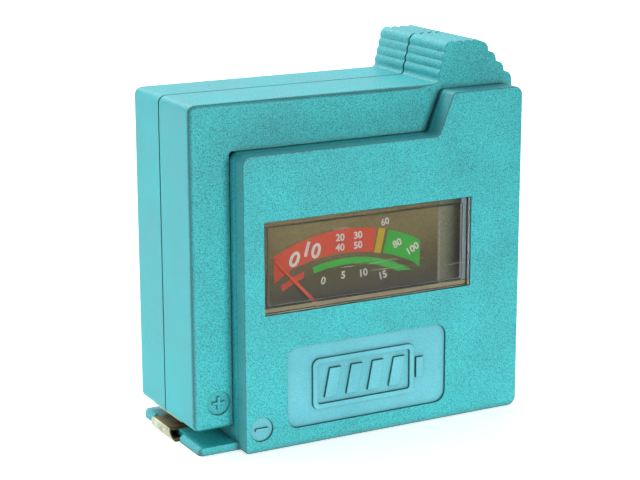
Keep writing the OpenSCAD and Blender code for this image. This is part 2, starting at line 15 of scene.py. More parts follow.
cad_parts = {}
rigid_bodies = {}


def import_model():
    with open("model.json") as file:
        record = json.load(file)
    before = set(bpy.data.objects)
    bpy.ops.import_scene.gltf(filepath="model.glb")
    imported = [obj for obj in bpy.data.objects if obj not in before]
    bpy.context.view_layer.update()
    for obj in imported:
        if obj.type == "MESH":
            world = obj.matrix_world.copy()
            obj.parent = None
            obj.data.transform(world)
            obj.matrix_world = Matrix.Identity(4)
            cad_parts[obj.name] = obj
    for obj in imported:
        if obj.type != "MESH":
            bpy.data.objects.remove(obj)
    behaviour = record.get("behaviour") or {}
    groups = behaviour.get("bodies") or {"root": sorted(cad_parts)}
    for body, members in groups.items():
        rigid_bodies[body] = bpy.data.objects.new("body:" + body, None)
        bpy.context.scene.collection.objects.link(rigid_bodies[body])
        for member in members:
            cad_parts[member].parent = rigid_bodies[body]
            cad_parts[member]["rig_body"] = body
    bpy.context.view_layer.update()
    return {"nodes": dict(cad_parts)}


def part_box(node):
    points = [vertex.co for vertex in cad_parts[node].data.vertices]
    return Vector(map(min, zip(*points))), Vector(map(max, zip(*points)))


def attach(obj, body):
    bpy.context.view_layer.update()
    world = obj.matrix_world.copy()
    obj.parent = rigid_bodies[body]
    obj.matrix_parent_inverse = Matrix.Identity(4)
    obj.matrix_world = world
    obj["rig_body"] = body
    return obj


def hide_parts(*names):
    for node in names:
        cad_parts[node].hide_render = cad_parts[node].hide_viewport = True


bl_info = {
    "name": "Pocket Battery Tester",
    "version": (1, 0, 0),
    "blender": (4, 5, 0),
    "location": "3D View > Sidebar > Tester",
    "description": "Builds the looks of a pocket battery tester around its packed model",
    "category": "Add Mesh",
}

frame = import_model()
NODES = frame["nodes"]
MM = 0.001
COVER_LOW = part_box("front_cover")[0]
SLIDER_LOW, SLIDER_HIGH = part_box("slider_front_half")
SLIDER_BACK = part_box("slider_rear_half")[1]
LENS_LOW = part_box("lens")[0]
DIAL_LOW, DIAL_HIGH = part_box("dial_plate")

# Places on the mouldings, in millimetres
LEG_FACE_X, BEAM_FACE_Z = -23.08, 49.78  # the slider's faces that run along the body
BEAM_TOP_Z = 57.6
GRIP_LEFT_X = 15.2
SLIDER_CORNER = 1.3  # reach of the slider's short corner arcs
SLIDER_MARGIN = 1.6  # strip along its left side and foot that has to stay free of loose edges
FACE_RIM = (-22.25, 28.3, 1.6, 46.5)  # left, right, foot and head of the cover's face
BACK_RIM = (-21.5, 27.0, 1.7, 48.0)  # the same for the housing's back
HOUSING_INNER_DEPTHS = (12.6, -8.56)
MINUS_DISC_X, MINUS_DISC_Z, MINUS_DISC_RADIUS = -20.0, 3.9, 2.15
PLAQUE_HALF_WIDTH, PLAQUE_FOOT, PLAQUE_HEAD = 15.25, 3.05, 17.05
RELIEF_DEPTH = 0.8
SEAM_EDGE = 0.04  # rounding where the slider's halves run along the body
SLIP = 0.11  # how much closer the visible sliding faces come than the model's

# Places on the lens and the dial, in millimetres
LENS_FLANGE = 1.2  # thickness of the lens in front of its inner step
PAINTED_STRIP_DEPTHS = (-10.9, -10.84)
SIDE_PLATE = (16.15, 21.5, 23.2, 38.5)  # left, right, foot and head beside the dial
SIDE_PLATE_THICKNESS = 0.05
NUMERAL_HALF_DEPTH = 0.01

# Shares of a numeral's height: its font size is the height over the first, and its strokes are
# wider by the second
CAP_SHARE = 0.69
STROKE_SHARE = 0.042


# Sizes and colours that a user would change

class MouldingSettings(PropertyGroup):
    """Sizes and colours of the moulded shells"""
    cover_edge: FloatProperty(
        name="Cover edge", description="Rounding round the front cover's face", unit="LENGTH",
        precision=5, default=0.0003, min=0.00005, max=0.00055)
    rear_edge: FloatProperty(
        name="Rear edge", description="Rounding round the tester's back", unit="LENGTH",
        precision=5, default=0.0002, min=0.00005, max=0.0004)
    slider_edge: FloatProperty(
        name="Slider edge", description="Rounding along the slider's outer edges", unit="LENGTH",
        precision=5, default=0.00095, min=0.0001, max=0.0011)
    fine_edge: FloatProperty(
        name="Fine edge", description="Rounding of every other moulded edge", unit="LENGTH",
        precision=5, default=0.0001, min=0.00002, max=0.0002)
    seam: FloatProperty(
        name="Seam", description="Gap between the slider's halves", unit="LENGTH",
        precision=5, default=0.0003, min=0.0, max=0.0004)
    plastic: FloatVectorProperty(
        name="Plastic", description="Colour of the moulding", subtype="COLOR", size=3,
        default=(0.033, 0.510, 0.531), min=0.0, max=1.0)
    fleck: FloatVectorProperty(
        name="Fleck", description="Darker fleck in the moulding", subtype="COLOR", size=3,
        default=(0.006, 0.165, 0.179), min=0.0, max=1.0)


class DialSettings(PropertyGroup):
    """Sizes and colours of the dial"""
    ink_height: FloatProperty(
        name="Ink height", description="Thickness of the printed ink", unit="LENGTH",
        precision=5, default=0.00003, min=0.00001, max=0.00008)
    red: FloatVectorProperty(
        name="Red", description="Ink of the empty range", subtype="COLOR", size=3,
        default=(0.85, 0.078, 0.022), min=0.0, max=1.0)
    yellow: FloatVectorProperty(
        name="Yellow", description="Ink of the low range", subtype="COLOR", size=3,
        default=(0.75, 0.50, 0.010), min=0.0, max=1.0)
    green: FloatVectorProperty(
        name="Green", description="Ink of the good range", subtype="COLOR", size=3,
        default=(0.038, 0.58, 0.042), min=0.0, max=1.0)
    white: FloatVectorProperty(
        name="White", description="Ink of the numerals", subtype="COLOR", size=3,
        default=(0.98, 0.95, 0.87), min=0.0, max=1.0)
    needle: FloatVectorProperty(
        name="Needle", description="Lacquer of the needle", subtype="COLOR", size=3,
        default=(1.0, 0.11, 0.018), min=0.0, max=1.0)


class StageSettings(PropertyGroup):
    """Camera, floor and lights"""
    camera_place: FloatVectorProperty(
        name="Camera place", description="Where the camera stands", subtype="TRANSLATION", size=3,
        default=(-0.14843, -0.27036, 0.10807))
    yaw: FloatProperty(
        name="Yaw", description="Turn of the camera from straight ahead", subtype="ANGLE",
        default=math.radians(28.433))
    pitch: FloatProperty(
        name="Pitch", description="Tilt of the camera below level", subtype="ANGLE",
        default=math.radians(14.097))
    roll: FloatProperty(
        name="Roll", description="Roll of the camera about its own axis", subtype="ANGLE",
        default=math.radians(-0.139))
    lens: FloatProperty(
        name="Lens", description="Focal length of the camera", unit="CAMERA",
        default=104.55, min=20.0, max=300.0)
    floor: FloatVectorProperty(
        name="Floor", description="Colour of the floor", subtype="COLOR", size=3,
        default=(0.74, 0.74, 0.74), min=0.0, max=1.0)


# Materials

def lay_out(nodes, frames):
    """Places the nodes of every frame in a row of their own, left to right."""
    for row, (label, members) in enumerate(frames):
        box = nodes.new("NodeFrame")
        box.label = label
        for column, node in enumerate(members):
            node.parent = box
            node.location = (-1500 + 240 * column, -360 * row)


def blank_material(name):
    """New material whose node tree is empty, with its nodes and its links."""
    material = bpy.data.materials.new(name)
    material.use_nodes = True
    material.node_tree.nodes.clear()
    return material, material.node_tree.nodes, material.node_tree.links


def moulded_plastic(name, colour, fleck, roughness, grain, painted_shade=0.0):
    """Moulded plastic with a fine-grained skin: flecks, soft patches of sheen and a pebbled face.

    A painted shade darkens the edges that are rounded from a face to a side, and the inner
    corners.
    """
    material, nodes, links = blank_material(name)
    place = nodes.new("ShaderNodeTexCoord")
    place.label = "Place on the moulding"

    speck = nodes.new("ShaderNodeTexNoise")
    speck.label = "Grains of the skin"
    speck.inputs["Scale"].default_value = 6700.0
    speck.inputs["Detail"].default_value = 3.0
    speck.inputs["Roughness"].default_value = 0.65
    cloud = nodes.new("ShaderNodeTexNoise")
    cloud.label = "Broad clouds"
    cloud.inputs["Scale"].default_value = 90.0
    cloud.inputs["Detail"].default_value = 4.0
    cloud.inputs["Roughness"].default_value = 0.6
    tint = nodes.new("ShaderNodeValToRGB")
    tint.label = "Fleck to base colour"
    tint.color_ramp.elements[0].position = 0.40
    tint.color_ramp.elements[0].color = (*fleck, 1.0)
    tint.color_ramp.elements[1].position = 0.52
    tint.color_ramp.elements[1].color = (*colour, 1.0)
    lift = nodes.new("ShaderNodeMixRGB")
    lift.label = "Clouds lighten the colour"
    lift.blend_type = "SOFT_LIGHT"
    lift.inputs["Fac"].default_value = 0.5

    parts = nodes.new("ShaderNodeSeparateXYZ")
    parts.label = "Parts of the normal"
    depth = nodes.new("ShaderNodeMath")
    depth.label = "Size of the depth part"
    depth.operation = "ABSOLUTE"
    middle = nodes.new("ShaderNodeMath")
    middle.label = "From the middle of a rounded edge"
    middle.operation = "SUBTRACT"
    middle.inputs[1].default_value = 0.6
    away = nodes.new("ShaderNodeMath")
    away.label = "How far from the middle"
    away.operation = "ABSOLUTE"
    flat = nodes.new("ShaderNodeMapRange")
    flat.label = "Rounded edges get a painted shade"
    flat.inputs["From Min"].default_value = 0.10
    flat.inputs["From Max"].default_value = 0.36
    flat.inputs["To Min"].default_value = 1.0 - painted_shade
    # Ambient occlusion finds the inner corners for the painted shade
    hollow = nodes.new("ShaderNodeAmbientOcclusion")
    hollow.label = "How open the place is"
    hollow.samples = 6
    hollow.inputs["Distance"].default_value = 0.0014
    clear = nodes.new("ShaderNodeMapRange")
    clear.label = "Inner corners get a painted shade"
    clear.inputs["From Min"].default_value = 0.4
    clear.inputs["From Max"].default_value = 0.9
    clear.inputs["To Min"].default_value = 1.0 - painted_shade
    unshaded_share = nodes.new("ShaderNodeMath")
    unshaded_share.label = "Unshaded where flat and open"
    unshaded_share.operation = "MULTIPLY"
    shade_mix = nodes.new("ShaderNodeMixRGB")
    shade_mix.label = "Painted shade to plain colour"
    # Colour of the painted shade on rounded edges and in inner corners
    shade_mix.inputs["Color1"].default_value = (*(0.40 * part + 0.03 for part in fleck), 1.0)

    sheen = nodes.new("ShaderNodeMapRange")
    sheen.label = "Sheen varies with the clouds"
    sheen.inputs["From Min"].default_value = 0.3
    sheen.inputs["From Max"].default_value = 0.7
    sheen.inputs["To Min"].default_value = roughness - 0.06
    sheen.inputs["To Max"].default_value = roughness + 0.08

    pebble = nodes.new("ShaderNodeTexVoronoi")
    pebble.label = "Pebbles of the grain"
    pebble.inputs["Scale"].default_value = 4200.0
    relief = nodes.new("ShaderNodeBump")
    relief.label = "Grained relief"
    relief.inputs["Strength"].default_value = grain
    relief.inputs["Distance"].default_value = 0.00006
    fine = nodes.new("ShaderNodeBump")
    fine.label = "Fine roughness"
    fine.inputs["Strength"].default_value = grain * 0.8
    fine.inputs["Distance"].default_value = 0.00004

    surface = nodes.new("ShaderNodeBsdfPrincipled")
    surface.label = "Plastic"
    surface.inputs["IOR"].default_value = 1.5
    surface.inputs["Specular IOR Level"].default_value = 0.5
    output = nodes.new("ShaderNodeOutputMaterial")
    output.label = "To the surface"

    lay_out(nodes, [
        ("Colour", [place, speck, cloud, tint, lift, shade_mix]),
        ("Painted edge and corner shade", [parts, depth, middle, away, flat, hollow, clear, unshaded_share]),
        ("Sheen", [sheen]),
        ("Relief", [pebble, fine, relief]),
        ("Surface", [surface, output]),
    ])
    for pattern in (speck, cloud, pebble):
        links.new(place.outputs["Object"], pattern.inputs["Vector"])
    links.new(speck.outputs["Fac"], tint.inputs["Fac"])
    links.new(tint.outputs["Color"], lift.inputs["Color1"])
    links.new(cloud.outputs["Fac"], lift.inputs["Color2"])
    links.new(lift.outputs["Color"], shade_mix.inputs["Color2"])
    links.new(place.outputs["Normal"], parts.inputs["Vector"])
    links.new(parts.outputs["Y"], depth.inputs[0])
    links.new(depth.outputs["Value"], middle.inputs[0])
    links.new(middle.outputs["Value"], away.inputs[0])
    links.new(away.outputs["Value"], flat.inputs["Value"])
    links.new(hollow.outputs["AO"], clear.inputs["Value"])
    links.new(flat.outputs["Result"], unshaded_share.inputs[0])
    links.new(clear.outputs["Result"], unshaded_share.inputs[1])
    links.new(unshaded_share.outputs["Value"], shade_mix.inputs["Fac"])
    links.new(shade_mix.outputs["Color"], surface.inputs["Base Color"])
    links.new(cloud.outputs["Fac"], sheen.inputs["Value"])
    links.new(sheen.outputs["Result"], surface.inputs["Roughness"])
    links.new(speck.outputs["Fac"], fine.inputs["Height"])
    links.new(pebble.outputs["Distance"], relief.inputs["Height"])
    links.new(fine.outputs["Normal"], relief.inputs["Normal"])
    links.new(relief.outputs["Normal"], surface.inputs["Normal"])
    links.new(surface.outputs["BSDF"], output.inputs["Surface"])
    return material


def clear_polystyrene(name):
    """Clear plastic with a few fine scratches and a trace of haze."""
    material, nodes, links = blank_material(name)
    place = nodes.new("ShaderNodeTexCoord")
    place.label = "Place on the lens"
    stretch = nodes.new("ShaderNodeMapping")
    stretch.label = "Scratches run up to the right"
    stretch.inputs["Rotation"].default_value = (0.0, math.radians(32.0), 0.0)
    stretch.inputs["Scale"].default_value = (60.0, 60.0, 1500.0)
    hairs = nodes.new("ShaderNodeTexNoise")
    hairs.label = "Fine scratches"
    hairs.inputs["Scale"].default_value = 1.0
    hairs.inputs["Detail"].default_value = 2.0
    deep = nodes.new("ShaderNodeMapRange")
    deep.label = "Only the deepest show"
    deep.inputs["From Min"].default_value = 0.68
    deep.inputs["From Max"].default_value = 0.74
    relief = nodes.new("ShaderNodeBump")
    relief.label = "Scratch relief"
    relief.inputs["Strength"].default_value = 0.25
    relief.inputs["Distance"].default_value = 0.00002
    haze = nodes.new("ShaderNodeMapRange")
    haze.label = "Scratches scatter the light"
    haze.inputs["To Min"].default_value = 0.02
    haze.inputs["To Max"].default_value = 0.35
    surface = nodes.new("ShaderNodeBsdfPrincipled")
    surface.label = "Clear polystyrene"
    surface.inputs["Base Color"].default_value = (0.97, 0.965, 0.94, 1.0)
    surface.inputs["IOR"].default_value = 1.49
    surface.inputs["Transmission Weight"].default_value = 1.0
    output = nodes.new("ShaderNodeOutputMaterial")
    output.label = "To the surface"
    lay_out(nodes, [
        ("Scratches", [place, stretch, hairs, deep]),
        ("Haze and relief", [haze, relief]),
        ("Surface", [surface, output]),
    ])
    links.new(place.outputs["Object"], stretch.inputs["Vector"])
    links.new(stretch.outputs["Vector"], hairs.inputs["Vector"])
    links.new(hairs.outputs["Fac"], deep.inputs["Value"])
    links.new(deep.outputs["Result"], haze.inputs["Value"])
    links.new(deep.outputs["Result"], relief.inputs["Height"])
    links.new(haze.outputs["Result"], surface.inputs["Roughness"])
    links.new(relief.outputs["Normal"], surface.inputs["Normal"])
    links.new(surface.outputs["BSDF"], output.inputs["Surface"])
    return material


def frosted_wall(name, colour):
    """Clear plastic with a matt skin, so that it catches the light."""
    material, nodes, links = blank_material(name)
    place = nodes.new("ShaderNodeTexCoord")
    place.label = "Place on the wall"
    marks = nodes.new("ShaderNodeTexNoise")
    marks.label = "Moulding marks"
    marks.inputs["Scale"].default_value = 900.0
    rough = nodes.new("ShaderNodeMapRange")
    rough.label = "Matt to half clear"
    rough.inputs["To Min"].default_value = 0.2
    rough.inputs["To Max"].default_value = 0.5
    surface = nodes.new("ShaderNodeBsdfPrincipled")
    surface.label = "Matt polystyrene"
    surface.inputs["Base Color"].default_value = (*colour, 1.0)
    surface.inputs["IOR"].default_value = 1.49
    surface.inputs["Transmission Weight"].default_value = 0.55
    output = nodes.new("ShaderNodeOutputMaterial")
    output.label = "To the surface"
    lay_out(nodes, [("Marks", [place, marks, rough]), ("Surface", [surface, output])])
    links.new(place.outputs["Object"], marks.inputs["Vector"])
    links.new(marks.outputs["Fac"], rough.inputs["Value"])
    links.new(rough.outputs["Result"], surface.inputs["Roughness"])
    links.new(surface.outputs["BSDF"], output.inputs["Surface"])
    return material


def dial_lacquer(name, light, dark, edge_x):
    """Bronze lacquer with dust in it, darker towards the foot of the dial by a painted reflection
    and lighter along its right edge by a painted highlight.
    """
    material, nodes, links = blank_material(name)
    place = nodes.new("ShaderNodeTexCoord")
    place.label = "Place on the dial"
    height = nodes.new("ShaderNodeSeparateXYZ")
    height.label = "Height on the dial"
    # Painted reflection: the bronze fades from light at the head of the dial to dark at its foot
    fall = nodes.new("ShaderNodeMapRange")
    fall.label = "Darker towards the foot"
    fall.inputs["From Min"].default_value = 0.024
    fall.inputs["From Max"].default_value = 0.037
    tone = nodes.new("ShaderNodeMixRGB")
    tone.label = "Dark to light bronze"
    tone.inputs["Color1"].default_value = (*dark, 1.0)
    tone.inputs["Color2"].default_value = (*light, 1.0)
    edge_highlight = nodes.new("ShaderNodeMapRange")
    edge_highlight.label = "Painted highlight along the right edge"
    edge_highlight.inputs["From Min"].default_value = edge_x - 0.0006
    edge_highlight.inputs["From Max"].default_value = edge_x - 0.0001
    highlight_mix = nodes.new("ShaderNodeMixRGB")
    highlight_mix.label = "Lacquer to painted highlight"
    highlight_mix.inputs["Color2"].default_value = (0.36, 0.34, 0.27, 1.0)
    dust = nodes.new("ShaderNodeTexNoise")
    dust.label = "Dust in the lacquer"
    dust.inputs["Scale"].default_value = 2500.0
    dust.inputs["Detail"].default_value = 4.0
    grainy = nodes.new("ShaderNodeMixRGB")
    grainy.label = "Dust over the bronze"
    grainy.blend_type = "OVERLAY"
    grainy.inputs["Fac"].default_value = 0.45
    dull = nodes.new("ShaderNodeMapRange")
    dull.label = "Dust dulls the lacquer"
    dull.inputs["To Min"].default_value = 0.30
    dull.inputs["To Max"].default_value = 0.55
    surface = nodes.new("ShaderNodeBsdfPrincipled")
    surface.label = "Lacquered metal"
    surface.inputs["Metallic"].default_value = 0.35
    output = nodes.new("ShaderNodeOutputMaterial")
    output.label = "To the surface"
    lay_out(nodes, [
        ("Colour", [place, height, fall, tone, edge_highlight, highlight_mix, dust, grainy]),
        ("Sheen", [dull]),
        ("Surface", [surface, output]),
    ])
    links.new(place.outputs["Object"], height.inputs["Vector"])
    links.new(place.outputs["Object"], dust.inputs["Vector"])
    links.new(height.outputs["Z"], fall.inputs["Value"])
    links.new(fall.outputs["Result"], tone.inputs["Fac"])
    links.new(height.outputs["X"], edge_highlight.inputs["Value"])
    links.new(edge_highlight.outputs["Result"], highlight_mix.inputs["Fac"])
    links.new(tone.outputs["Color"], highlight_mix.inputs["Color1"])
    links.new(highlight_mix.outputs["Color"], grainy.inputs["Color1"])
    links.new(dust.outputs["Fac"], grainy.inputs["Color2"])
    links.new(dust.outputs["Fac"], dull.inputs["Value"])
    links.new(grainy.outputs["Color"], surface.inputs["Base Color"])
    links.new(dull.outputs["Result"], surface.inputs["Roughness"])
    links.new(surface.outputs["BSDF"], output.inputs["Surface"])
    return material


def printed_ink(name, colour, roughness=0.45):
    """Screen-printed ink or lacquer with slightly uneven cover."""
    material, nodes, links = blank_material(name)
    place = nodes.new("ShaderNodeTexCoord")
    place.label = "Place on the print"
    cover = nodes.new("ShaderNodeTexNoise")
    cover.label = "Uneven cover"
    cover.inputs["Scale"].default_value = 2200.0
    cover.inputs["Detail"].default_value = 3.0
    tone = nodes.new("ShaderNodeMixRGB")
    tone.label = "Thin ink is darker"
    tone.inputs["Color1"].default_value = (*(0.72 * part for part in colour), 1.0)
    tone.inputs["Color2"].default_value = (*colour, 1.0)
    surface = nodes.new("ShaderNodeBsdfPrincipled")
    surface.label = "Ink"
    surface.inputs["Roughness"].default_value = roughness
    output = nodes.new("ShaderNodeOutputMaterial")
    output.label = "To the surface"
    lay_out(nodes, [("Colour", [place, cover, tone]), ("Surface", [surface, output])])
    links.new(place.outputs["Object"], cover.inputs["Vector"])
    links.new(cover.outputs["Fac"], tone.inputs["Fac"])
    links.new(tone.outputs["Color"], surface.inputs["Base Color"])
    links.new(surface.outputs["BSDF"], output.inputs["Surface"])
    return material


def worn_metal(name, colour, tarnish, roughness, grain_axis=(1.0, 1.0, 1.0)):
    """Metal with tarnish in clouds and fine rolling marks along one axis."""
    material, nodes, links = blank_material(name)
    place = nodes.new("ShaderNodeTexCoord")
    place.label = "Place on the metal"
    cloud = nodes.new("ShaderNodeTexNoise")
    cloud.label = "Clouds of tarnish"
    cloud.inputs["Scale"].default_value = 420.0
    cloud.inputs["Detail"].default_value = 5.0
    tone = nodes.new("ShaderNodeValToRGB")
    tone.label = "Tarnish to bright metal"
    tone.color_ramp.elements[0].position = 0.38
    tone.color_ramp.elements[0].color = (*tarnish, 1.0)
    tone.color_ramp.elements[1].position = 0.62
    tone.color_ramp.elements[1].color = (*colour, 1.0)
    stretch = nodes.new("ShaderNodeMapping")
    stretch.label = "Rolling direction"
    stretch.inputs["Scale"].default_value = grain_axis
    marks = nodes.new("ShaderNodeTexNoise")
    marks.label = "Rolling marks"
    marks.inputs["Scale"].default_value = 1800.0
    marks.inputs["Detail"].default_value = 2.0
    rough = nodes.new("ShaderNodeMapRange")
    rough.label = "Marks roughen the metal"
    rough.inputs["To Min"].default_value = roughness - 0.08
    rough.inputs["To Max"].default_value = roughness + 0.14
    relief = nodes.new("ShaderNodeBump")
    relief.label = "Shallow marks"
    relief.inputs["Strength"].default_value = 0.15
    relief.inputs["Distance"].default_value = 0.00003
    surface = nodes.new("ShaderNodeBsdfPrincipled")
    surface.label = "Metal"
    surface.inputs["Metallic"].default_value = 1.0
    output = nodes.new("ShaderNodeOutputMaterial")
    output.label = "To the surface"
    lay_out(nodes, [
        ("Colour", [place, cloud, tone]),
        ("Rolling marks", [stretch, marks, rough, relief]),
        ("Surface", [surface, output]),
    ])
    links.new(place.outputs["Object"], cloud.inputs["Vector"])
    links.new(place.outputs["Object"], stretch.inputs["Vector"])
    links.new(stretch.outputs["Vector"], marks.inputs["Vector"])
    links.new(cloud.outputs["Fac"], tone.inputs["Fac"])
    links.new(tone.outputs["Color"], surface.inputs["Base Color"])
    links.new(marks.outputs["Fac"], rough.inputs["Value"])
    links.new(marks.outputs["Fac"], relief.inputs["Height"])
    links.new(rough.outputs["Result"], surface.inputs["Roughness"])
    links.new(relief.outputs["Normal"], surface.inputs["Normal"])
    links.new(surface.outputs["BSDF"], output.inputs["Surface"])
    return material


def lit_floor(name, colour, glow):
    """Pale table that is lit from below, with the faintest mottling; its near part is grey."""
    material, nodes, links = blank_material(name)
    place = nodes.new("ShaderNodeTexCoord")
    place.label = "Place on the floor"
    split = nodes.new("ShaderNodeSeparateXYZ")
    split.label = "Depth on the floor"
    near_part = nodes.new("ShaderNodeMapRange")
    near_part.label = "Grey in front, white behind"
    near_part.interpolation_type = "SMOOTHSTEP"
    near_part.inputs["From Min"].default_value = -0.11
    near_part.inputs["From Max"].default_value = -0.055
    near_part.inputs["To Min"].default_value = 0.12
    mottle = nodes.new("ShaderNodeTexNoise")
    mottle.label = "Faint mottling"
    mottle.inputs["Scale"].default_value = 12.0
    tone = nodes.new("ShaderNodeMixRGB")
    tone.label = "Two near whites"
    tone.inputs["Color1"].default_value = (*colour, 1.0)
    tone.inputs["Color2"].default_value = (*(0.985 * part for part in colour), 1.0)
    shade = nodes.new("ShaderNodeMixRGB")
    shade.label = "Near part is darker"
    shade.blend_type = "MULTIPLY"
    shade.inputs["Fac"].default_value = 1.0
    light = nodes.new("ShaderNodeMath")
    light.label = "Light from below"
    light.operation = "MULTIPLY"
    light.inputs[1].default_value = glow
    surface = nodes.new("ShaderNodeBsdfPrincipled")
    surface.label = "Floor"
    surface.inputs["Roughness"].default_value = 0.9
    surface.inputs["Emission Color"].default_value = (1.0, 1.0, 1.0, 1.0)
    output = nodes.new("ShaderNodeOutputMaterial")
    output.label = "To the surface"
    lay_out(nodes, [
        ("Depth", [place, split, near_part]),
        ("Colour", [mottle, tone, shade]),
        ("Surface", [light, surface, output]),
    ])
    links.new(place.outputs["Object"], split.inputs["Vector"])
    links.new(place.outputs["Object"], mottle.inputs["Vector"])
    links.new(split.outputs["Y"], near_part.inputs["Value"])
    links.new(mottle.outputs["Fac"], tone.inputs["Fac"])
    links.new(tone.outputs["Color"], shade.inputs["Color1"])
    links.new(near_part.outputs["Result"], shade.inputs["Color2"])
    links.new(near_part.outputs["Result"], light.inputs[0])
    links.new(light.outputs["Value"], surface.inputs["Emission Strength"])
    links.new(shade.outputs["Color"], surface.inputs["Base Color"])
    links.new(surface.outputs["BSDF"], output.inputs["Surface"])
    return material


# Meshes

def add_piece(name, mesh, body):
    """Puts a mesh into the scene as a piece that rides on a body."""
    piece = bpy.data.objects.new(name, mesh)
    bpy.context.scene.collection.objects.link(piece)
    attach(piece, body)
    return piece


def merged_copy(node, name):
    """Mesh of a CAD node with its loose triangles joined and its flat faces made whole."""
    mesh = bpy.data.meshes.new(name)
    work = bmesh.new()
    work.from_mesh(NODES[node].data)
    bmesh.ops.remove_doubles(work, verts=work.verts, dist=0.5e-6)
    bmesh.ops.dissolve_limit(
        work, angle_limit=math.radians(0.6), verts=work.verts, edges=work.edges)
    work.to_mesh(mesh)
    work.free()
    if "custom_normal" in mesh.attributes:
        mesh.attributes.remove(mesh.attributes["custom_normal"])
    mesh.materials.clear()
    return mesh


def read_array(items, key, width, kind=float):
    """One property of every item of a mesh collection as an array."""
    values = np.empty(len(items) * width, dtype=kind)
    items.foreach_get(key, values)
    return values.reshape(-1, width) if width > 1 else values


def edge_turns(mesh):
    """Cosine of the turn between the two faces at every edge."""
    normals = read_array(mesh.polygons, "normal", 3)
    loops = read_array(mesh.polygons, "loop_total", 1, np.int32)
    face_of_loop = np.repeat(np.arange(len(loops)), loops)
    edge_of_loop = read_array(mesh.loops, "edge_index", 1, np.int32)
    order = np.argsort(edge_of_loop, kind="stable")
    used = np.bincount(edge_of_loop, minlength=len(mesh.edges))
    start = np.concatenate([[0], np.cumsum(used)[:-1]])
    first = face_of_loop[order[start]]
    second = face_of_loop[order[start + np.maximum(used - 1, 0)]]
    return (normals[first] * normals[second]).sum(axis=1)


def clear_margin(mesh, x, z, y):
    """Cuts the mesh at X and Z and clears the flat face at depth Y of edges beyond the cuts.

    X, Z and Y are in millimetres, and the edges that go lie left of X or below Z. An edge that
    joins the outline's short arcs to a hole would pull a wide rounding out of place.
    """
    work = bmesh.new()
    work.from_mesh(mesh)
    for across in ((1.0, 0.0, 0.0), (0.0, 0.0, 1.0)):
        bmesh.ops.bisect_plane(
            work, geom=work.verts[:] + work.edges[:] + work.faces[:], dist=1e-7,
            plane_co=(x * MM, 0.0, z * MM), plane_no=across)
    work.to_mesh(mesh)
    points = read_array(mesh.vertices, "co", 3) / MM
    ends = points[read_array(mesh.edges, "vertices", 2, np.int32)]
    low = ends.min(axis=1)
    loose = ((low[:, 0] < x - 0.01) | (low[:, 2] < z - 0.01)) & near(ends[:, :, 1], y).all(axis=1)
    loose &= edge_turns(mesh) > 0.99999
    work.edges.ensure_lookup_table()
    bmesh.ops.dissolve_edges(work, edges=[work.edges[index] for index in np.flatnonzero(loose)])
    work.to_mesh(mesh)
    work.free()


def write_edge_radii(mesh, rule):
    """Stores each edge's rounding, in millimetres, as its bevel weight.

    An edge is rounded where its two faces turn by more than 28 degrees; rule takes the edges'
    midpoints in millimetres and gives their radii.
    """
    points = read_array(mesh.vertices, "co", 3)
    ends = read_array(mesh.edges, "vertices", 2, np.int32)
    middle = points[ends].mean(axis=1) / MM
    sharp = edge_turns(mesh) < math.cos(math.radians(28.0))
    weight = np.where(sharp, rule(middle), 0.0).astype(np.float32)
    layer = mesh.attributes.new("bevel_weight_edge", "FLOAT", "EDGE")
    layer.data.foreach_set("value", weight)


def round_edges(piece, segments=3):
    """Rounds the edges by their stored radii and smooths the shading between them."""
    bevel = piece.modifiers.new("Moulded radii", "BEVEL")
    bevel.limit_method = "WEIGHT"
    bevel.width = MM
    bevel.segments = segments
    bevel.use_clamp_overlap = False
    bevel.harden_normals = True
    bevel.miter_outer = "MITER_ARC"
    flags = np.ones(len(piece.data.polygons), dtype=bool)
    piece.data.polygons.foreach_set("use_smooth", flags)


def rounded_part(node, name, material, rule, segments=3, mesh=None):
    """Rounded piece that stands for a CAD node; a mesh that was worked on first may be given."""
    mesh = mesh or merged_copy(node, name)
    write_edge_radii(mesh, rule)
    mesh.materials.append(material)
    piece = add_piece(name, mesh, NODES[node]["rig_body"])
    round_edges(piece, segments)
    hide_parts(node)
    return piece


def give_finish(node, material):
    """Gives a CAD node one material in place of its own."""
    NODES[node].data.materials.clear()
    NODES[node].data.materials.append(material)


def near(values, target, reach=0.02):
    """True where the values are within reach of the target."""
    return np.abs(values - target) < reach


def even_radius(radius):
    """Rule that gives every edge the same radius, in millimetres."""
    return lambda middle: np.full(len(middle), radius)


def outside(middle, rim):
    """True for midpoints that lie outside a rim given as left, right, foot and head."""
    left, right, foot, head = rim
    x, z = middle[:, 0], middle[:, 2]
    return (x < left) | (x > right) | (z < foot) | (z > head)


def rectangle(left, right, foot, head):
    """Outline of an upright rectangle in X and Z."""
    return np.array([[left, foot], [right, foot], [right, head], [left, head]])


def plate_mesh(name, outlines, y_front, y_back):
    """Flat plates from outlines in X and Z, in metres, closed between two depths.

    Each outline is turned to run anticlockwise, which its signed area shows: the sum over its
    sides of x times the next z less the next x times z. It makes the front, the same corners at
    the back depth make the back, and each side makes a four-sided wall.
    """
    corners = []
    faces = []
    for outline in outlines:
        x, z = outline.T
        area = np.sum(x * np.roll(z, -1) - np.roll(x, -1) * z)
        outline = outline if area > 0 else outline[::-1]
        count = len(outline)
        base = sum(len(part) for part in corners)
        for depth in (y_front, y_back):
            corners.append(np.column_stack([outline[:, 0], np.full(count, depth), outline[:, 1]]))
        here = np.arange(count)
        ahead = np.roll(here, -1)
        faces.append(list(base + here))
        faces.append(list(base + count + here[::-1]))
        faces.extend(np.column_stack([base + here, base + count + here,
                                      base + count + ahead, base + ahead]).tolist())
    mesh = bpy.data.meshes.new(name)
    mesh.from_pydata(np.concatenate(corners).tolist(), [], faces)
    mesh.update()
    return mesh


# Shells

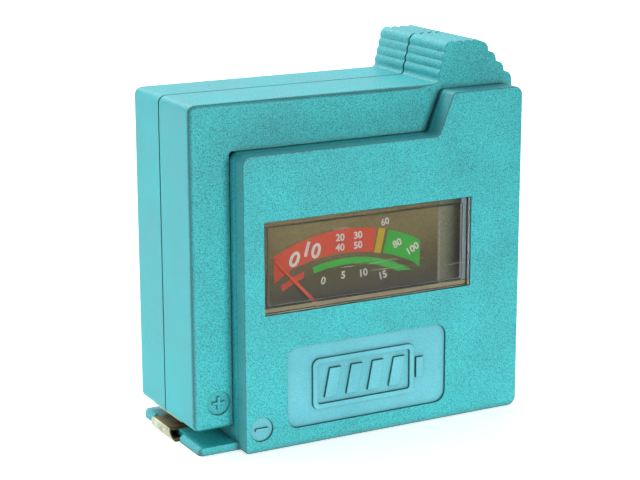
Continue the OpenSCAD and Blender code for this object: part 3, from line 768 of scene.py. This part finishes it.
def slider_radii(middle, edge, fine, y_outer):
    """Radii on a slider half: full round its free outer edges, small on the grip and the seam."""
    x, y, z = middle.T
    left, foot = SLIDER_LOW.x / MM, SLIDER_LOW.z / MM
    outer = near(y, y_outer)
    corner = (x < left + SLIDER_CORNER) & (
        (z > BEAM_TOP_Z - SLIDER_CORNER - 0.05) | (z < foot + SLIDER_CORNER))
    free = (x < left + 0.05) | ((z > BEAM_TOP_Z - 0.05) & (x < GRIP_LEFT_X)) | corner
    free |= z < foot + 0.05
    inner = near(x, LEG_FACE_X, 0.05) | near(z, BEAM_FACE_Z, 0.05)
    return np.where(outer & free, edge, np.where(outer & inner, SEAM_EDGE, fine))


def slider_mesh(node, name, seam_shift):
    """Mesh of a slider half whose seam face is drawn back and whose sliding faces come closer."""
    mesh = merged_copy(node, name)
    clear_margin(mesh, SLIDER_LOW.x / MM + SLIDER_MARGIN, SLIDER_LOW.z / MM + SLIDER_MARGIN,
                 SLIDER_LOW.y / MM)
    points = read_array(mesh.vertices, "co", 3)
    points[near(points[:, 1], SLIDER_HIGH.y, 1e-5), 1] += seam_shift
    points[near(points[:, 0], LEG_FACE_X * MM, 1e-5), 0] += SLIP * MM
    points[near(points[:, 2], BEAM_FACE_Z * MM, 1e-5), 2] -= SLIP * MM
    mesh.vertices.foreach_set("co", points.ravel())
    mesh.update()
    return mesh


class TESTER_OT_shells(Operator):
    """Makes the front cover, the rear housing and both halves of the slider"""
    bl_idname = "tester.shells"
    bl_label = "Moulded shells"

    def execute(self, context):
        sizes = context.scene.tester_moulding
        cover_edge, rear_edge = sizes.cover_edge / MM, sizes.rear_edge / MM
        slider_edge, fine_edge = sizes.slider_edge / MM, sizes.fine_edge / MM
        # The last argument of a moulding sets the strength of its painted shade on rounded edges
        # and in inner corners
        plastic = moulded_plastic("teal_plastic", sizes.plastic, sizes.fleck, 0.5, 0.5, 0.75)
        # The relief's flats: a glossier finish, and a lighter colour as a painted sheen
        smooth_and_painted_sheen = moulded_plastic(
            "teal_smooth_painted_sheen", (0.12, 0.49, 0.56), (0.075, 0.40, 0.46), 0.42, 0.25, 0.75)
        # Darker copy for the relief's walls: a painted shade along the raised letters and the
        # recess
        relief_wall_shade = moulded_plastic(
            "teal_wall_shade", (0.020, 0.16, 0.17), (0.014, 0.11, 0.12), 0.6, 0.4)
        shaded = moulded_plastic(
            "teal_shaded", (0.056, 0.37, 0.385), (0.035, 0.24, 0.25), 0.6, 0.5, 0.75)
        face = COVER_LOW.y / MM
        band = SLIDER_LOW.y / MM
        back = SLIDER_BACK.y / MM

        def cover_radii(middle):
            rim = near(middle[:, 1], face) & outside(middle, FACE_RIM)
            return np.where(rim, cover_edge, fine_edge)

        def housing_radii(middle):
            rim = near(middle[:, 1], back) & outside(middle, BACK_RIM)
            inner = np.any([near(middle[:, 1], depth) for depth in HOUSING_INNER_DEPTHS], axis=0)
            return np.where(rim, rear_edge, np.where(inner, 0.0, fine_edge))

        def front_half_radii(middle):
            return slider_radii(middle, slider_edge, fine_edge, band)

        def rear_half_radii(middle):
            return slider_radii(middle, rear_edge, fine_edge, back)

        cover = rounded_part(
            "front_cover", "cover_moulding", plastic, cover_radii)
        rounded_part("rear_housing", "housing_moulding", plastic, housing_radii)
        half_gap = 0.5 * sizes.seam
        halves = (
            ("slider_front_half", "slider_front_moulding", front_half_radii, -half_gap),
            ("slider_rear_half", "slider_rear_moulding", rear_half_radii, half_gap),
        )
        for node, name, radii, shift in halves:
            rounded_part(node, name, plastic, radii, 4,
                         slider_mesh(node, name, shift))

        # A face of the cover belongs to the relief when all its corners lie in the plaque or in
        # the minus disc: its flats get the glossier finish with a painted sheen, and its walls a
        # darker painted shade. Sides that face left or up get a painted shade as well.
        for material in (smooth_and_painted_sheen, relief_wall_shade, shaded):
            cover.data.materials.append(material)
        points = read_array(cover.data.vertices, "co", 3) / MM
        corner = points[read_array(cover.data.loops, "vertex_index", 1, np.int32)]
        start = read_array(cover.data.polygons, "loop_start", 1, np.int32)
        span = np.maximum.reduceat(np.abs(corner[:, 0]), start)
        foot = np.minimum.reduceat(corner[:, 2], start)
        head = np.maximum.reduceat(corner[:, 2], start)
        from_disc = np.hypot(corner[:, 0] - MINUS_DISC_X, corner[:, 2] - MINUS_DISC_Z)
        relief = (span < PLAQUE_HALF_WIDTH) & (foot > PLAQUE_FOOT) & (head < PLAQUE_HEAD)
        relief |= np.maximum.reduceat(from_disc, start) < MINUS_DISC_RADIUS
        relief &= np.minimum.reduceat(corner[:, 1], start) < face + RELIEF_DEPTH
        normal = read_array(cover.data.polygons, "normal", 3)
        side = (normal[:, 0] < -0.5) | (normal[:, 2] > 0.5)
        finish = np.where(relief, np.where(normal[:, 1] < -0.9, 1, 2), np.where(side, 3, 0))
        cover.data.polygons.foreach_set("material_index", finish.astype(np.int32))
        return {"FINISHED"}


# Lens, dial and needle

class TESTER_OT_lens(Operator):
    """Makes the clear lens with its moulded edges"""
    bl_idname = "tester.lens"
    bl_label = "Clear lens"

    def execute(self, context):
        def lens_radii(middle):
            inner = near(middle[:, 1], LENS_LOW.y / MM + LENS_FLANGE, 0.03)
            return np.where(inner, 0.28, 0.12)

        lens = rounded_part("lens", "clear_lens",
                            clear_polystyrene("clear_polystyrene"), lens_radii)
        mesh = lens.data
        mesh.materials.append(frosted_wall("frosted_wall", (0.86, 0.85, 0.74)))
        centre = read_array(mesh.polygons, "center", 3)
        normal = read_array(mesh.polygons, "normal", 3)
        inward = np.abs(normal[:, 1]) < 0.3
        inward &= centre[:, 1] > LENS_LOW.y + (LENS_FLANGE - 0.05) * MM
        mesh.polygons.foreach_set("material_index", inward.astype(np.int32))
        # Thin strips behind the lens's rim whose colours are painted light: the cream, bluish
        # white and olive that the rim's clear walls refract
        strips = (
            ("painted_light_foot", (0.80, 0.70, 0.42), (-19.1, 19.9, 23.15, 23.8)),
            ("painted_light_right", (0.62, 0.80, 0.88), (18.95, 19.9, 23.9, 38.5)),
            ("painted_light_left", (0.36, 0.31, 0.15), (-19.1, -18.4, 23.9, 38.5)),
        )
        front, back = (depth * MM for depth in PAINTED_STRIP_DEPTHS)
        for name, colour, place in strips:
            strip = plate_mesh(name, [rectangle(*place) * MM], front, back)
            strip.materials.append(printed_ink(name + "_painted_colour", colour, 0.8))
            add_piece(name, strip, "meter_body")
        return {"FINISHED"}


def arc_points(centre, radius, x_from, x_to):
    """Points on the upper arc of a circle between two X positions, in millimetres.

    The height is the centre's plus the root of the radius squared less the squared distance
    in X from the centre.
    """
    x = np.linspace(x_from, x_to, 40)
    z = centre[1] + np.sqrt(radius ** 2 - (x - centre[0]) ** 2)
    return np.column_stack([x, z])


def numeral_meshes(marks):
    """Flat meshes of short numerals: each mark is its text, height, centre and turn.

    Lengths are in millimetres; turns are in degrees, clockwise as seen from the front.
    """
    meshes = []
    for text, height, (x, z), turn in marks:
        curve = bpy.data.curves.new("numeral", "FONT")
        curve.body = text
        curve.size = height * MM / CAP_SHARE
        curve.align_x = "CENTER"
        curve.align_y = "CENTER"
        curve.extrude = NUMERAL_HALF_DEPTH * MM
        curve.offset = STROKE_SHARE * height * MM
        curve.resolution_u = 4
        holder = bpy.data.objects.new("numeral", curve)
        bpy.context.scene.collection.objects.link(holder)
        bpy.context.view_layer.update()
        mesh = bpy.data.meshes.new_from_object(holder.evaluated_get(
            bpy.context.evaluated_depsgraph_get()))
        bpy.data.objects.remove(holder)
        upright = Matrix.Rotation(math.radians(90), 4, "X")
        lean = Matrix.Rotation(math.radians(turn), 4, "Y")
        mesh.transform(Matrix.Translation((x * MM, 0.0, z * MM)) @ lean @ upright)
        meshes.append(mesh)
    return meshes


def joined(name, meshes, shift_y):
    """One mesh from several, moved in depth."""
    work = bmesh.new()
    for mesh in meshes:
        work.from_mesh(mesh)
    bmesh.ops.remove_doubles(work, verts=work.verts, dist=1e-7)
    whole = bpy.data.meshes.new(name)
    work.to_mesh(whole)
    work.free()
    whole.transform(Matrix.Translation((0.0, shift_y, 0.0)))
    whole.materials.clear()
    return whole


class TESTER_OT_dial(Operator):
    """Lacquers the dial plate and prints its coloured ranges and numerals"""
    bl_idname = "tester.dial"
    bl_label = "Printed dial"

    def execute(self, context):
        ink = context.scene.tester_dial
        give_finish("dial_plate", dial_lacquer(
            "dial_lacquer", (0.27, 0.215, 0.085), (0.060, 0.051, 0.022), DIAL_HIGH.x))
        side = plate_mesh("dial_side_plate", [rectangle(*SIDE_PLATE) * MM],
                          DIAL_HIGH.y - SIDE_PLATE_THICKNESS * MM, DIAL_HIGH.y)
        beyond_plate = DIAL_HIGH.x + 9 * MM  # so that no part of the side plate gets the painted highlight
        side.materials.append(dial_lacquer(
            "side_lacquer", (0.31, 0.32, 0.20), (0.22, 0.23, 0.15), beyond_plate))
        add_piece("dial_side_plate", side, "meter_body")
        y_back = DIAL_LOW.y
        y_front = y_back - ink.ink_height
        # Centre and radius, in millimetres, of the arcs that bound the upper and the lower range
        outer = ((-2.23, 4.83), 30.09)
        inner = ((-2.72, 0.67), 30.16)
        low_outer = ((-2.33, 5.49), 24.4)
        low_middle = ((-2.33, 5.49), 23.4)
        low_inner = ((-2.31, 6.92), 21.9)
        red_main = np.concatenate([
            arc_points(*outer, -15.78, 3.57), arc_points(*inner, 2.92, -12.78), [[-15.68, 27.2]]])
        red_low = np.concatenate([
            arc_points(*low_outer, -14.48, -10.08), arc_points(*low_middle, -10.28, -14.18)])
        yellow = np.array([[4.02, 34.3], [5.32, 34.05], [4.37, 29.9], [3.12, 30.15]])
        green_main = np.concatenate([
            arc_points(*outer, 5.87, 12.12), [[12.02, 26.6]], arc_points(*inner, 10.72, 4.82)])
        green_low = np.concatenate([
            arc_points(*low_outer, -8.58, 10.52), [[8.12, 26.4]],
            arc_points(*low_inner, 8.02, -8.23)])
        prints = (
            ("dial_print_red", "red_ink", ink.red, [red_main, red_low]),
            ("dial_print_yellow", "yellow_ink", ink.yellow, [yellow]),
            ("dial_print_green", "green_ink", ink.green, [green_main, green_low]),
        )
        for name, ink_name, colour, outlines in prints:
            mesh = plate_mesh(name, [outline * MM for outline in outlines], y_front, y_back)
            mesh.materials.append(printed_ink(ink_name, colour))
            add_piece(name, mesh, "meter_body")
        marks = [
            ("0", 2.5, (-12.0, 30.75), 26), ("10", 2.4, (-8.8, 31.95), 16),
            ("20", 1.15, (-3.4, 33.5), 2), ("30", 1.15, (0.0, 33.5), -3),
            ("40", 1.15, (-3.4, 31.8), 2), ("50", 1.15, (0.0, 31.8), -3),
            ("60", 1.1, (5.2, 35.2), -12),
            ("80", 1.2, (7.6, 31.2), -22), ("100", 1.2, (10.6, 29.9), -28),
            ("0", 1.2, (-6.6, 26.5), 12), ("5", 1.2, (-2.8, 27.0), 2),
            ("10", 1.2, (1.0, 26.9), -6), ("15", 1.2, (4.8, 26.0), -14),
        ]
        numerals = joined(
            "dial_print_numerals", numeral_meshes(marks), y_front - NUMERAL_HALF_DEPTH * MM)
        numerals.materials.append(printed_ink("white_ink", ink.white))
        add_piece("dial_print_numerals", numerals, "meter_body")
        return {"FINISHED"}


class TESTER_OT_needle(Operator):
    """Finishes the needle and the parts that turn with it"""
    bl_idname = "tester.needle"
    bl_label = "Needle"

    def execute(self, context):
        red = printed_ink("needle_lacquer", context.scene.tester_dial.needle, 0.3)
        copper = worn_metal("coil_copper", (0.62, 0.25, 0.10), (0.40, 0.14, 0.06), 0.35)
        steel = worn_metal("pivot_steel", (0.62, 0.62, 0.64), (0.45, 0.45, 0.47), 0.25)
        spring = worn_metal("spring_bronze", (0.72, 0.48, 0.20), (0.5, 0.33, 0.15), 0.3)
        finishes = {"pointer": red, "moving_coil": copper, "pointer_pivots": steel,
                    "balance_weight": steel, "hairspring": spring}
        for node, material in finishes.items():
            give_finish(node, material)
        return {"FINISHED"}


# Metal parts, meter and wiring

class TESTER_OT_contacts(Operator):
    """Makes the clip on the lip and finishes the other contacts"""
    bl_idname = "tester.contacts"
    bl_label = "Contacts"

    def execute(self, context):
        rolled = (1.0, 0.1, 1.0)
        brass = worn_metal("contact_brass", (0.57, 0.60, 0.46), (0.34, 0.33, 0.20), 0.38, rolled)
        nickel = worn_metal("contact_nickel", (0.70, 0.69, 0.66), (0.50, 0.49, 0.45), 0.28, rolled)
        clip = rounded_part("negative_clip", "clip_on_lip", brass,
                            even_radius(0.07), 2)
        # The clip's top faces get a darker metal as a painted shade, the shade under the body
        # above; its clouds are tarnish
        clip.data.materials.append(
            worn_metal("contact_tarnish_and_shade", (0.26, 0.20, 0.09), (0.12, 0.09, 0.04), 0.5, rolled))
        shaded_top = read_array(clip.data.polygons, "normal", 3)[:, 2] > 0.8
        clip.data.polygons.foreach_set("material_index", shaded_top.astype(np.int32))
        rounded_part("positive_contact", "plate_under_leg", brass,
                     even_radius(0.07), 2)
        rounded_part("nine_volt_contacts", "side_contacts", nickel,
                     even_radius(0.07), 2)
        for node in ("slider_strip", "guide_rail", "meter_terminals", "core_strap",
                     "front_bridge", "front_bearing", "rear_bearing"):
            give_finish(node, brass)
        for node in ("wiper_spring", "stop_pin"):
            give_finish(node, nickel)
        return {"FINISHED"}


class TESTER_OT_fasteners(Operator):
    """Rounds and plates the screws"""
    bl_idname = "tester.fasteners"
    bl_label = "Screws"

    def execute(self, context):
        steel = worn_metal("screw_steel", (0.60, 0.61, 0.63), (0.38, 0.38, 0.39), 0.32)
        for node, name in (
                ("housing_screws", "housing_screw_set"), ("slider_screws", "slider_screw_set"),
                ("dial_screws", "dial_screw_set")):
            rounded_part(node, name, steel, even_radius(0.06), 2)
        return {"FINISHED"}


class TESTER_OT_movement(Operator):
    """Finishes the meter's frame, ring and magnet, the resistors and the wires"""
    bl_idname = "tester.movement"
    bl_label = "Meter and wiring"

    def execute(self, context):
        black = moulded_plastic(
            "meter_black", (0.10, 0.095, 0.07), (0.05, 0.045, 0.035), 0.45, 0.3)
        iron = worn_metal("soft_iron", (0.30, 0.30, 0.30), (0.20, 0.19, 0.18), 0.45)
        tan = moulded_plastic("resistor_tan", (0.55, 0.42, 0.24), (0.42, 0.31, 0.17), 0.35, 0.1)
        blue = moulded_plastic("resistor_blue", (0.12, 0.28, 0.42), (0.08, 0.2, 0.32), 0.35, 0.1)
        wire_black = moulded_plastic(
            "wire_black", (0.03, 0.03, 0.03), (0.02, 0.02, 0.02), 0.4, 0.1)
        wire_red = moulded_plastic("wire_red", (0.45, 0.03, 0.025), (0.35, 0.02, 0.02), 0.4, 0.1)
        finishes = {
            "meter_frame": black, "field_ring": iron, "core_magnet": iron,
            "cell_resistor": tan, "nine_volt_resistor": blue,
            "negative_wire": wire_black, "nine_volt_minus_wire": wire_black,
            "positive_wire": wire_red, "nine_volt_plus_wire": wire_red,
        }
        for node, material in finishes.items():
            give_finish(node, material)
        return {"FINISHED"}


# Stage

def studio_sky(name, front, back):
    """World that is bright behind the tester and above it, and dim in front."""
    world = bpy.data.worlds.new(name)
    world.use_nodes = True
    nodes = world.node_tree.nodes
    links = world.node_tree.links
    nodes.clear()
    place = nodes.new("ShaderNodeTexCoord")
    place.label = "Direction"
    split = nodes.new("ShaderNodeSeparateXYZ")
    split.label = "Depth of the direction"
    fall = nodes.new("ShaderNodeMapRange")
    fall.label = "Bright behind, dim in front"
    fall.interpolation_type = "SMOOTHSTEP"
    fall.inputs["From Min"].default_value = -0.5
    fall.inputs["From Max"].default_value = 0.31
    fall.inputs["To Min"].default_value = front
    fall.inputs["To Max"].default_value = back
    sky = nodes.new("ShaderNodeBackground")
    sky.label = "Even studio light"
    sky.inputs["Color"].default_value = (0.92, 0.96, 1.04, 1.0)
    output = nodes.new("ShaderNodeOutputWorld")
    output.label = "To the world"
    lay_out(nodes, [("Sky", [place, split, fall, sky, output])])
    links.new(place.outputs["Generated"], split.inputs["Vector"])
    links.new(split.outputs["Y"], fall.inputs["Value"])
    links.new(fall.outputs["Result"], sky.inputs["Strength"])
    links.new(sky.outputs["Background"], output.inputs["Surface"])
    return world


def soft_light(name, place, target, size, power):
    """White square area light that faces its target; the size is in metres, the power in watts."""
    light = bpy.data.lights.new(name, "AREA")
    light.size = size
    light.energy = power
    lamp = bpy.data.objects.new(name, light)
    bpy.context.scene.collection.objects.link(lamp)
    lamp.location = place
    lamp.rotation_euler = (Vector(target) - Vector(place)).to_track_quat("-Z", "Y").to_euler()
    return lamp


class TESTER_OT_stage(Operator):
    """Makes the camera, the floor, the sky and the lights"""
    bl_idname = "tester.stage"
    bl_label = "Stage"

    def execute(self, context):
        stage = context.scene.tester_stage
        data = bpy.data.cameras.new("camera")
        data.lens = stage.lens
        data.sensor_width = 36.0
        data.clip_start = 0.01
        camera = bpy.data.objects.new("camera", data)
        context.scene.collection.objects.link(camera)
        camera.matrix_world = (
            Matrix.Translation(stage.camera_place)
            @ Matrix.Rotation(-stage.yaw, 4, "Z")
            @ Matrix.Rotation(math.pi / 2 - stage.pitch, 4, "X")
            @ Matrix.Rotation(stage.roll, 4, "Z"))
        context.scene.camera = camera

        half = 3.0
        corners = [(-half, -half, 0.0), (half, -half, 0.0), (half, half, 0.0), (-half, half, 0.0)]
        mesh = bpy.data.meshes.new("floor")
        mesh.from_pydata(corners, [], [[0, 1, 2, 3]])
        mesh.materials.append(lit_floor("floor_white", stage.floor, 0.62))
        floor = bpy.data.objects.new("floor", mesh)
        context.scene.collection.objects.link(floor)

        context.scene.world = studio_sky("studio", 0.13, 1.32)
        middle = (0.0, 0.0, 0.03)
        soft_light("back_top_light", (-0.15, 0.45, 0.60), middle, 0.4, 3.8)
        soft_light("front_light", (0.12, -0.90, 0.12), middle, 0.35, 6.6)
        soft_light("glint_light", (-0.81, -0.49, 0.29), middle, 0.05, 0.15)
        context.scene.view_settings.view_transform = "Standard"
        return {"FINISHED"}


class TESTER_PT_parts(Panel):
    """Lists the tester's pieces in the order they are made"""
    bl_idname = "TESTER_PT_parts"
    bl_label = "Battery Tester"
    bl_space_type = "VIEW_3D"
    bl_region_type = "UI"
    bl_category = "Tester"

    def draw(self, context):
        for operator in OPERATORS:
            self.layout.operator(operator.bl_idname)


OPERATORS = (TESTER_OT_shells, TESTER_OT_lens, TESTER_OT_dial, TESTER_OT_needle,
             TESTER_OT_contacts, TESTER_OT_fasteners, TESTER_OT_movement, TESTER_OT_stage)
CLASSES = (MouldingSettings, DialSettings, StageSettings, *OPERATORS, TESTER_PT_parts)


def register():
    """Registers the classes and hangs their settings on the scene."""
    for entry in CLASSES:
        bpy.utils.register_class(entry)
    bpy.types.Scene.tester_moulding = PointerProperty(type=MouldingSettings)
    bpy.types.Scene.tester_dial = PointerProperty(type=DialSettings)
    bpy.types.Scene.tester_stage = PointerProperty(type=StageSettings)


def unregister():
    """Takes the settings off the scene and the classes out again."""
    del bpy.types.Scene.tester_stage
    del bpy.types.Scene.tester_dial
    del bpy.types.Scene.tester_moulding
    for entry in reversed(CLASSES):
        bpy.utils.unregister_class(entry)


def main():
    """Builds every piece in order."""
    register()
    bpy.ops.tester.stage()
    bpy.ops.tester.shells()
    bpy.ops.tester.lens()
    bpy.ops.tester.dial()
    bpy.ops.tester.needle()
    bpy.ops.tester.contacts()
    bpy.ops.tester.fasteners()
    bpy.ops.tester.movement()


if __name__ == "__main__":
    main()
